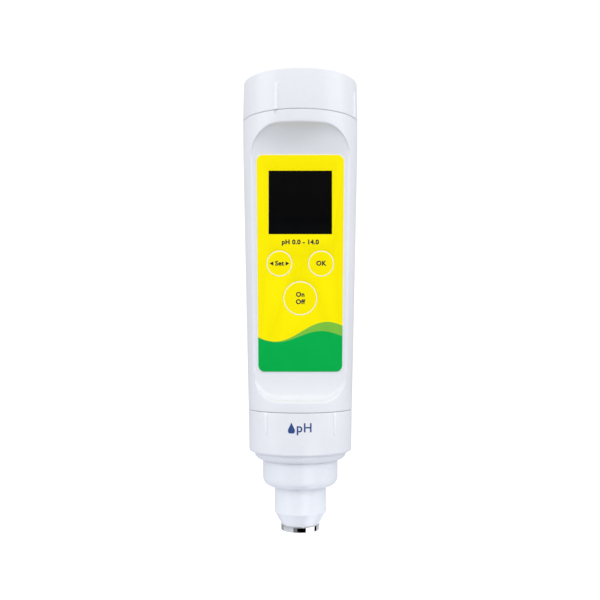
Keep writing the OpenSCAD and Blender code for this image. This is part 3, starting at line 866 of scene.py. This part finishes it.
def barrel_skin():
    """The barrel's closed outside."""
    rings = [whole_ring([front_point(u, *row) for u in COLUMNS]) for row in face_rows()]
    first, last = rings[0], rings[-1]
    below = rounded([(SPIGOT_R - 1.5, SPIGOT_Z, 0), (SPIGOT_R, SPIGOT_Z, 0.4), (SPIGOT_R, COLLAR_TOP_Z, 0),
                     (BARREL_LOW_R, COLLAR_TOP_Z, EDGE_BREAK),
                     (barrel_radius(COLLAR_TOP_Z + 0.7), COLLAR_TOP_Z + 0.7, 0)])
    above = rounded([(barrel_radius(SEAM_Z - 0.8), SEAM_Z - 0.8, 0), (BARREL_R, SEAM_Z, EDGE_BREAK),
                     (NECK_R, SEAM_Z, 0), (NECK_R, NECK_TOP_Z, 0.4), (NECK_R - 1, NECK_TOP_Z, 0)])
    rings = [turned_ring(first, *p) for p in below] + rings + [turned_ring(last, *p) for p in above]
    return skin("barrel_housing", rings)


def slab_behind_face(depth):
    """A large block behind the face's plane, for cutting hollows short of the front wall."""
    return block("behind_face", (-40, -80, -60), (40, 80, -depth), face_matrix())


def board_bosses():
    """Four screw bosses behind the face, with blind holes for the board's screws."""
    profile = [(0, -1), (2, -1), (2, -6.7), (1.7, -7), (0.8, -7), (0.8, -3), (0, -3)]
    bosses = []
    for x in (-BOSS_X, BOSS_X):
        for y in BOSS_Y:
            boss = revolve("boss", profile, 32)
            boss.data.transform(face_matrix() @ Matrix.Translation((x * MM, y * MM, 0)))
            bosses.append(boss)
    return bosses


def tray_ledge():
    """Half-round ledge at the back of the barrel, which the battery tray stands on."""
    start = math.asin(0.4 / TRAY_LEDGE_BORE_R)
    bend = np.linspace(start, math.pi - start, 49)
    outer_r = barrel_radius(95) - WALL / 2
    outline = [(outer_r * math.cos(a), outer_r * math.sin(a)) for a in bend]
    outline += [(TRAY_LEDGE_BORE_R * math.cos(a), TRAY_LEDGE_BORE_R * math.sin(a)) for a in bend[::-1]]
    return outline_solid("tray_ledge", outline, *TRAY_LEDGE_Z)


def barrel_piece():
    """The barrel with its hollow, its holes, its bosses and its threads."""
    barrel = barrel_skin()
    hollow = revolve("hollow", [
        (0, SOCKET_FLOOR_Z), (barrel_radius(SOCKET_FLOOR_Z) - WALL, SOCKET_FLOOR_Z),
        (DRAFT_TOP_R - WALL, DRAFT_TOP_Z), (BARREL_R - WALL, SEAM_Z - 6),
        (NECK_BORE_R, SEAM_Z - 2), (NECK_BORE_R, NECK_TOP_Z + 1), (0, NECK_TOP_Z + 1)], 128)
    combine(hollow, slab_behind_face(WALL - 0.2), "INTERSECT")
    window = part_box("display_window")
    mid = (window[0].z + window[1].z) / 2 / MM
    half = (window[1].x - window[0].x) / 2 / MM - 1
    mid_y = (mid - FACE_Z) / math.cos(FACE_TILT)
    cuts = [
        hollow,
        disc("neck_bore", 0, 0, NECK_BORE_R, SEAM_Z - 2, NECK_TOP_Z + 1, None, 128),
        disc("spigot_bore", 0, 0, SPIGOT_BORE_R, SPIGOT_Z - 1, BULKHEAD_Z, None, 128),
        disc("bulkhead_hole", 0, 0, BULKHEAD_HOLE_R, BULKHEAD_Z - 1, SOCKET_FLOOR_Z + 1),
        block("keyway", (-KEYWAY[0], 0, SPIGOT_Z - 1), (KEYWAY[0], KEYWAY[1], BULKHEAD_Z - 1)),
        block("neck_slots", (-NECK_SLOT[0], -NECK_SLOT[1], SEAM_Z - 0.2), (*NECK_SLOT, NECK_TOP_Z + 1)),
        block("window_opening", (-half, mid_y - half, -WALL - 1), (half, mid_y + half, 1), face_matrix()),
        block("seam_notch", (BARREL_R - 0.3, -0.6, SEAM_Z - 1.2), (BARREL_R + 2, 0.6, SEAM_Z + 1),
              Matrix.Rotation(CAP_RIB_ANGLE, 4, "Z")),
    ]
    cuts += [disc("key_place", x, y, r + KEY_HOLE_GAP, -WALL - 1, 1, face_matrix())
             for x, y, r, _, _ in KEYS.values()]
    for cut in cuts:
        combine(barrel, cut, "DIFFERENCE")
    join(barrel, *board_bosses(), tray_ledge(), thread("cap_thread", NECK_R + THREAD_LIFT, 144.3, 0, 1.5),
         thread("collar_thread", SPIGOT_R + THREAD_LIFT, 31.7, 0, 2.25))
    shade(barrel, 32)
    return finish_piece(barrel, MATERIALS["housing_plastic"], "barrel", "housing_plastic", "barrel_shell")


# ---------- Battery cap, locking collar, probe and ring ----------

def soft_rib(name, top_width, low_width, proud, r_low, r_high, z_low, z_high):
    """A slim rib along +X on a round side, with a round crown and a round upper end."""
    rings = []
    for t in 1 - np.linspace(1, 0, 28) ** 2:
        z = z_low + (z_high - z_low) * t
        r = r_low + (r_high - r_low) * t
        half = (low_width + (top_width - low_width) * t) / 2
        to_end = min((z_high - z) / (top_width / 2), 1.0)
        lift = proud * math.sqrt(1 - (1 - to_end) ** 2)
        crown = [(math.sqrt(r * r - (s * half) ** 2) + lift * math.sqrt(1 - abs(s) ** 3), s * half, z)
                 for s in np.linspace(-1, 1, 15)]
        rings.append(crown + [(r - 0.5, half, z), (r - 0.5, -half, z)])
    return skin(name, rings)


def ribbed_piece(piece, ribs, body, node):
    """Joins ribs, in a lighter copy of the housing plastic that paints a highlight on them, to a finished
    housing and puts it in place of its node.
    """
    plain_faces = len(piece.data.polygons)
    join(piece, *ribs)
    # The ribs' faces get the lighter plastic, a painted highlight.
    two_toned(piece, MATERIALS["housing_plastic"], RIB_HIGHLIGHT_PLASTIC, lambda face: face.index >= plain_faces)
    shade(piece, 35)
    return settle(piece, body, "housing_plastic", node)


def battery_cap_piece():
    """Screw cap with four soft ribs, its bore, its snap boss and its thread."""
    low_z = SEAM_Z + SEAM_GAP
    top_r = BARREL_R - 0.25
    snap_boss = [(6.4, CAP_CEILING_Z, 0), (6.4, 149, 0.2), (4.05, 149, 0.2), (4.05, 151, 0), (4.8, 151, 0),
                 (4.8, CAP_CEILING_Z, 0)]
    cap = revolve("cap_housing", rounded(
        [(0, TOP_Z, 0), (top_r, TOP_Z, 0.65), (BARREL_R, low_z, 0.3), (CAP_BORE_R, low_z, 0.2),
         (CAP_BORE_R, CAP_CEILING_Z, 0)] + snap_boss + [(0, CAP_CEILING_Z, 0)], 8), 256)
    rib = soft_rib("rib", *CAP_RIB, BARREL_R - 0.02, BARREL_R - 0.16, low_z + 0.12, low_z + 8.8)
    copy_round(rib, 4, CAP_RIB_ANGLE, math.pi / 2)
    join(cap, thread("cap_inner_thread", CAP_BORE_R - THREAD_LIFT, 143.55, math.pi / 2, 1.25, -1))
    return ribbed_piece(cap, [rib], "cap", "battery_cap")


def collar_piece():
    """Locking collar with its tapered ribs, its convex lip and its thread."""
    top_z = COLLAR_TOP_Z - SEAM_GAP
    lip = arc(15.8 - LIP_ROUND, LIP_Z + LIP_ROUND, LIP_ROUND, -8, -82, 10)
    collar = revolve("collar_housing", rounded(
        [(COLLAR_BORE_R, top_z, 0.2), (BARREL_LOW_R, top_z, 0.25), (17.5, COLLAR_STEP_Z, 0.7),
         (15.85, COLLAR_STEP_Z, 0)] + lip
        + [(COLLAR_LIP_BORE_R, LIP_Z, 0.2), (COLLAR_LIP_BORE_R, 27.5, 0), (COLLAR_BORE_R, 27.5, 0)], 8), 256)
    ribs = []
    for start in COLLAR_RIB_ANGLES:
        rib = soft_rib("rib", *COLLAR_RIB, 17.55, BARREL_LOW_R - 0.02, 33.5, top_z - 0.15)
        ribs.append(copy_round(rib, 2, start, math.pi))
    join(collar, thread("collar_inner_thread", COLLAR_BORE_R - THREAD_LIFT, 32.7, math.pi, 1.5, -1))
    return ribbed_piece(collar, ribs, "collar", "locking_collar")


def probe_piece():
    """Probe housing with its bores, from the axis inside to the plug's top."""
    tip_z = RING_TOP_Z + 0.02
    bores = [(0, 40, 0), (10.6, 40, 0), (10.6, 17, 0), (7, 17, 0), (7, CONE_TOP_Z, 0), (5.2, CONE_TOP_Z, 0),
             (5.2, 4.5, 0), (6.06, 4.5, 0), (6.06, tip_z, 0)]
    tip = [(6.36, tip_z, 0.08), (6.46, 2.2, 0), (SHANK_R, CONE_TOP_Z, 0.6), (SHANK_R, PROBE_STEP_Z, 0)]
    step = arc(PROBE_R - PROBE_ROUND, PROBE_STEP_Z + PROBE_ROUND, PROBE_ROUND, -90, 0, 14)
    plug = [(12.85, 27.6, 0), (14.8, 27.6, 0.2), (14.8, 29.6, 0.3), (12.4, 29.6, 0), (12.4, 36.2, 0),
            (11.2, 36.2, 0), (11.2, 37.8, 0), (12.4, 37.8, 0), (12.4, PLUG_TOP_Z, 0.4), (0, PLUG_TOP_Z, 0)]
    probe = revolve("probe_body", rounded(bores + tip + step + plug, 6), 256)
    key = block("key_rib", (-1.2, 11, 29.5), (1.2, 13.2, 35.6))
    bevel(key, 0.25, 2)
    join(probe, key)
    shade(probe, 35)
    return finish_piece(probe, MATERIALS["probe_plastic"], "probe", "probe_plastic", "probe_housing")


def steel_ring_piece():
    """Polished ring round the sensing tip, with its sleeve."""
    ring = revolve("steel_ring_band", rounded([
        (RING_BORE_R, 0, 0.2), (RING_R, 0, 0.18), (RING_R, RING_TOP_Z, 0.06), (RING_SLEEVE_R, RING_TOP_Z, 0),
        (RING_SLEEVE_R, 4.3, 0), (RING_BORE_R, 4.3, 0.1)], 6), 256)
    shade(ring, 40)
    return finish_piece(ring, MATERIALS["polished_steel"], "probe", "polished_steel", "steel_ring")


# ---------- Label, window and keys ----------

def label_outline(grow=0.0):
    """Corners of the label with round corners, wider at the top than at the bottom."""
    r = LABEL_CORNER + grow
    (top_x, top_y), (low_x, low_y) = LABEL_TOP, LABEL_LOW
    out = []
    for x, y, start in ((top_x, top_y, 0), (-top_x, top_y, 90), (-low_x, low_y, 180), (low_x, low_y, 270)):
        cx, cy = x - math.copysign(LABEL_CORNER, x), y - math.copysign(LABEL_CORNER, y)
        bend = [math.radians(start + 9 * k) for k in range(11)]
        out += [(cx + r * math.cos(a), cy + r * math.sin(a)) for a in bend]
    return out


def window_corners(inset):
    """Lowest and highest corner of the display window in the face's plane."""
    lowest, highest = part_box("display_window")
    half = (highest.x - lowest.x) / 2 / MM - inset
    mid = ((lowest.z + highest.z) / 2 / MM - FACE_Z) / math.cos(FACE_TILT)
    tall = (highest.z - lowest.z) / 2 / MM - inset
    return -half, mid - tall, half, mid + tall


def label_piece():
    """Printed film over a thin pale border, open at the window and at the keys."""
    label = outline_solid("label", label_outline(), 0, LABEL_T)
    cuts = [disc("key_hole", x, y, r + KEY_GAP, -1, 1) for x, y, r, _, _ in KEYS.values()]
    x0, y0, x1, y1 = window_corners(-0.03)
    cuts.append(block("window_hole", (x0, y0, -1), (x1, y1, 1)))
    for cut in cuts:
        combine(label, cut, "DIFFERENCE")
    bevel(label, 0.07, 2)
    border = outline_solid("border", label_outline(BORDER), -0.02, 0.1)
    inside = outline_solid("inside", label_outline(-BORDER), -1, 1)
    combine(border, inside, "DIFFERENCE")
    bevel(border, 0.04, 2)
    printed = len(label.data.polygons)
    join(label, border)
    two_toned(label, MATERIALS["label_film"], FILM_EDGE, lambda face: face.index >= printed)
    label.data.transform(face_matrix())
    shade(label, 30)
    return settle(label, "barrel", "label_film", "face_label")


def window_piece():
    """Black window, a hair below the film, with softened edges."""
    x0, y0, x1, y1 = window_corners(0)
    window = block("window_glass", (x0, y0, 0), (x1, y1, LABEL_T - 0.03), face_matrix())
    bevel(window, 0.05, 3)
    shade(window, 30)
    return finish_piece(window, MATERIALS["display_glass"], "barrel", "display_glass", "display_window")


def key_piece(name, x, y, r, body, node):
    """Key with a printed white ring at its edge, a flange and a stem."""
    flange_top, flange_low = KEY_FLANGE_Z
    key = revolve("button_" + name, rounded([
        (0, LABEL_T, 0), (r - PRINT_RING, LABEL_T, 0), (r, LABEL_T, 0.03), (r, flange_top, 0),
        (r + KEY_FLANGE, flange_top, 0), (r + KEY_FLANGE, flange_low, 0.1), (KEY_STEM_R, flange_low, 0),
        (KEY_STEM_R, KEY_STEM_Z, 0.2), (0, KEY_STEM_Z, 0)], 4), 128)
    def in_ring(face):
        """Whether a face lies in the printed ring."""
        middle = face.center / MM
        return math.hypot(middle.x, middle.y) > r - PRINT_RING and middle.z > LABEL_T - 0.1

    two_toned(key, MATERIALS["key_film"], RING_WHITE, in_ring)
    key.data.transform(face_matrix() @ Matrix.Translation((x * MM, y * MM, 0)))
    shade(key, 30)
    return settle(key, body, "key_film", node)


# ---------- Printing ----------

LEGEND_HEIGHT = 1.5
KEY_WEIGHT = 0.09
RANGE_WEIGHT = 0.1
FONT_CAP = 0.7  # height of a capital, for a font size of 1


def lettering(name, words, cap_height, x, y, weight):
    """Thin ink letters, centred, in the plane of the face. The strokes are widened by twice the weight."""
    curve = bpy.data.curves.new(name, "FONT")
    curve.body = words
    curve.align_x, curve.align_y = "CENTER", "CENTER"
    curve.size = cap_height / FONT_CAP * MM
    curve.space_character = 1.08
    curve.bevel_depth = weight * MM
    curve.bevel_resolution = 0
    curve.extrude = 0.02 * MM
    curve.resolution_u = 6
    text = bpy.data.objects.new(name + "_text", curve)
    mesh = bpy.data.meshes.new_from_object(text)
    bpy.data.objects.remove(text)
    flat = Matrix.Diagonal((1, 1, 0.15, 1))
    mesh.transform(Matrix.Translation((x * MM, y * MM, (LABEL_T + 0.005) * MM)) @ flat)
    ink = bpy.data.objects.new(name, mesh)
    bpy.context.scene.collection.objects.link(ink)
    return ink


def ink_piece(ink, body, slot, material, place=None):
    """Puts printed ink in place, on its body."""
    if place:
        ink.data.transform(place)
    tidy_mesh(ink, 0.0005 * MM)
    return finish_piece(ink, material, body, slot)


def arrow(name, x, y, size):
    """Small printed triangle that points away from the key's middle."""
    tip = math.copysign(size, x - KEYS["left"][0])
    outline = [(x + tip, y), (x, y + 0.72), (x, y - 0.72)]
    return outline_solid(name, outline, LABEL_T - 0.01, LABEL_T + 0.011)


def round_collar(ink, r):
    """Bends flat ink round the front of the collar."""
    for v in ink.data.vertices:
        across, up, out = v.co
        angle = across / (r * MM)
        v.co = ((r * MM + out) * math.sin(angle), -(r * MM + out) * math.cos(angle), up)


def printing():
    """All the printed legends, in generic words."""
    x, y = KEYS["left"][:2]
    left = lettering("legend_left", "Set", LEGEND_HEIGHT, x, y, KEY_WEIGHT)
    join(left, arrow("arrow_left", x - 2.05, y, 1.25), arrow("arrow_right", x + 2.05, y, 1.25))
    ink_piece(left, "key_left", "key_film", INK, face_matrix())
    right = lettering("legend_right", "OK", LEGEND_HEIGHT, *KEYS["right"][:2], KEY_WEIGHT)
    ink_piece(right, "key_right", "key_film", INK, face_matrix())
    x, y = KEYS["large"][:2]
    large = lettering("legend_large", "Off", LEGEND_HEIGHT, x, y - 1.25, KEY_WEIGHT)
    join(large, lettering("upper_line", "On", LEGEND_HEIGHT, x, y + 1.2, KEY_WEIGHT))
    ink_piece(large, "key_large", "key_film", INK, face_matrix())
    span = lettering("legend_range", "pH 0.0 - 14.0", LEGEND_HEIGHT, 0, 7.4, RANGE_WEIGHT)
    ink_piece(span, "barrel", "label_film", INK, face_matrix())


def collar_mark():
    """A plain droplet beside the letters of the quantity measured."""
    x, z, r, tip_z = -2.9, 35.3, 1.15, 37.9
    bend = [math.radians(a) for a in range(-50, 231, 10)]
    drop = [(x + r * math.cos(a), z + r * math.sin(a)) for a in bend]
    drop = [p for p in drop if p[1] < z + 0.65] + [(x, tip_z)]
    drop.sort(key=lambda p: math.atan2(p[1] - z - 0.3, p[0] - x))
    mark = outline_solid("collar_mark", drop, 0.0, 0.02)
    letters = lettering("mark_letters", "pH", 2.9, 1.3, 36.1, 0.06)
    letters.data.transform(Matrix.Translation((0, 0, -LABEL_T * MM)))
    join(mark, letters)
    round_collar(mark, 17.69)
    ink_piece(mark, "collar", "housing_plastic", MARK_BLUE)


barrel_piece()
battery_cap_piece()
collar_piece()
probe_piece()
steel_ring_piece()
label_piece()
window_piece()
for key_name, key_place in KEYS.items():
    key_piece(key_name, *key_place)
printing()
collar_mark()


# ---------- Floor, light and camera ----------

FLOOR_HALF = 6000
FLOOR_Z = -6.3
FLOOR_GLOW = 0.68
COOL_WHITE = (0.93, 0.96, 1.0)
EYE = (-0.0001, -0.289, 0.0652)
EYE_RISE = math.asin(0.0459)


def floor():
    """Plain pale floor, low enough for the probe to be drawn down.

    Away from the object only the camera sees its glow, so it reads white but lights softly."""
    corners = [(-FLOOR_HALF, -FLOOR_HALF), (FLOOR_HALF, -FLOOR_HALF), (FLOOR_HALF, FLOOR_HALF),
               (-FLOOR_HALF, FLOOR_HALF)]
    ground = new_mesh("floor", [(x, y, FLOOR_Z) for x, y in corners], [(0, 1, 2, 3)])
    material = plain_material("floor_white", (0.45, 0.47, 0.53), (0.48, 0.50, 0.56), (0.7, 0.8), 4.0,
                              Specular_IOR_Level=0.1)
    tree = material.node_tree
    shader = tree.nodes["Principled BSDF"]
    seen = add_node(tree, "ShaderNodeLightPath").outputs["Is Camera Ray"]
    place = add_node(tree, "ShaderNodeTexCoord").outputs["Object"]
    away = add_node(tree, "ShaderNodeVectorMath", {0: place}, operation="LENGTH").outputs["Value"]
    near = spread(tree, away, 0.58, 0.0, 0.03, 0.075)
    tree.links.new(mixed(tree, seen, COOL_WHITE, (1, 1, 1)), shader.inputs["Emission Color"])
    glow = maths(tree, "MULTIPLY", maths(tree, "MAXIMUM", seen, near), FLOOR_GLOW)
    tree.links.new(glow, shader.inputs["Emission Strength"])
    material.cycles.emission_sampling = "NONE"
    ground.data.materials.append(material)


def panel_light(name, place, aim, size, power, colour=(1, 1, 1), mirrored=True):
    """A soft rectangular light aimed at a point, in metres."""
    light = bpy.data.lights.new(name, "AREA")
    light.shape = "RECTANGLE"
    light.size, light.size_y = size
    light.energy = power
    light.color = colour
    lamp = bpy.data.objects.new(name, light)
    lamp.location = place
    lamp.rotation_euler = (Vector(aim) - Vector(place)).to_track_quat("-Z", "Y").to_euler()
    lamp.visible_camera = False
    lamp.visible_glossy = mirrored
    bpy.context.scene.collection.objects.link(lamp)


def floor_card(name, start, end, material, near=6.6, reach=12.0):
    """A flat card round the tip, which only polished surfaces see.

    Its sides follow the lines of sight that the ring reflects, so it shows there as an upright band between
    the two azimuths, in degrees."""
    angles = [math.radians(start + (end - start) * k / 12) for k in range(13)]
    foot = [(near * math.sin(a), -near * math.cos(a)) for a in angles]
    outline = foot + [(x + reach * math.sin(2 * a), y - reach * math.cos(2 * a))
                      for a, (x, y) in zip(angles[::-1], foot[::-1])]
    card = new_mesh(name, [(x, y, 0.02) for x, y in outline], [tuple(range(len(outline)))])
    card.data.materials.append(material)
    for ray in ("visible_camera", "visible_diffuse", "visible_shadow", "visible_transmission"):
        setattr(card, ray, False)


def glowing_material(name, strength):
    """An even white glow."""
    material = new_material(name, Base_Color=(0, 0, 0, 1), Specular_IOR_Level=0.0,
                            Emission_Color=(1, 1, 1, 1), Emission_Strength=strength)[0]
    material.cycles.emission_sampling = "NONE"
    return material


def room():
    """White studio: soft light from all round, softboxes in front and at the sides, cards for the ring."""
    world = bpy.data.worlds.new("studio")
    bpy.context.scene.world = world
    world.use_nodes = True
    tree = world.node_tree
    up = add_node(tree, "ShaderNodeSeparateXYZ", {
        0: add_node(tree, "ShaderNodeTexCoord").outputs["Generated"]}).outputs["Z"]
    light = spread(tree, up, 0.52, 1.0, 0.0, 1.0)
    seen = add_node(tree, "ShaderNodeLightPath").outputs["Is Camera Ray"]
    background = tree.nodes["Background"]
    background.inputs["Color"].default_value = (1.0, 1.0, 1.0, 1)
    strength = maths(tree, "MAXIMUM", light, maths(tree, "MULTIPLY", seen, 1.1))
    tree.links.new(strength, background.inputs["Strength"])
    panel_light("softbox_front", (0.1, -1.1, 0.75), (0, 0, 0.09), (1.1, 0.7), 4.6, mirrored=False)
    panel_light("softbox_right", (0.8, -0.25, 0.2), (0, 0, 0.08), (0.6, 0.9), 2.7)
    panel_light("softbox_left", (-0.8, -0.25, 0.2), (0, 0, 0.08), (0.6, 0.9), 2.8, (0.97, 0.98, 1.0))
    dark = glowing_material("card_black", 0.0)
    floor_card("card_left", -84, -60, glowing_material("left_shade", 0.45))
    floor_card("card_shade", -21, -9, glowing_material("front_shade", 0.25))
    floor_card("card_front", -9, 17, dark)
    floor_card("card_bright", 17, 47, glowing_material("ring_glow", 2.0))
    floor_card("card_side", 47, 57, dark)
    floor_card("card_highlight", 5, 23, glowing_material("right_glow", 2.4), 25, 190)
    floor_card("card_glint", -35, -29, glowing_material("left_glow", 2.2), 25, 190)


def camera():
    """Camera a little below the barrel's middle, tilted slightly up."""
    lens = bpy.data.cameras.new("camera")
    lens.lens = 50
    lens.sensor_width = 36
    lens.clip_start = 0.01
    lens.clip_end = 50
    eye = bpy.data.objects.new("camera", lens)
    eye.location = EYE
    eye.rotation_euler = (math.pi / 2 + EYE_RISE, 0, 0)
    bpy.context.scene.collection.objects.link(eye)
    bpy.context.scene.camera = eye


floor()
room()
camera()
bpy.context.scene.view_settings.view_transform = "Standard"
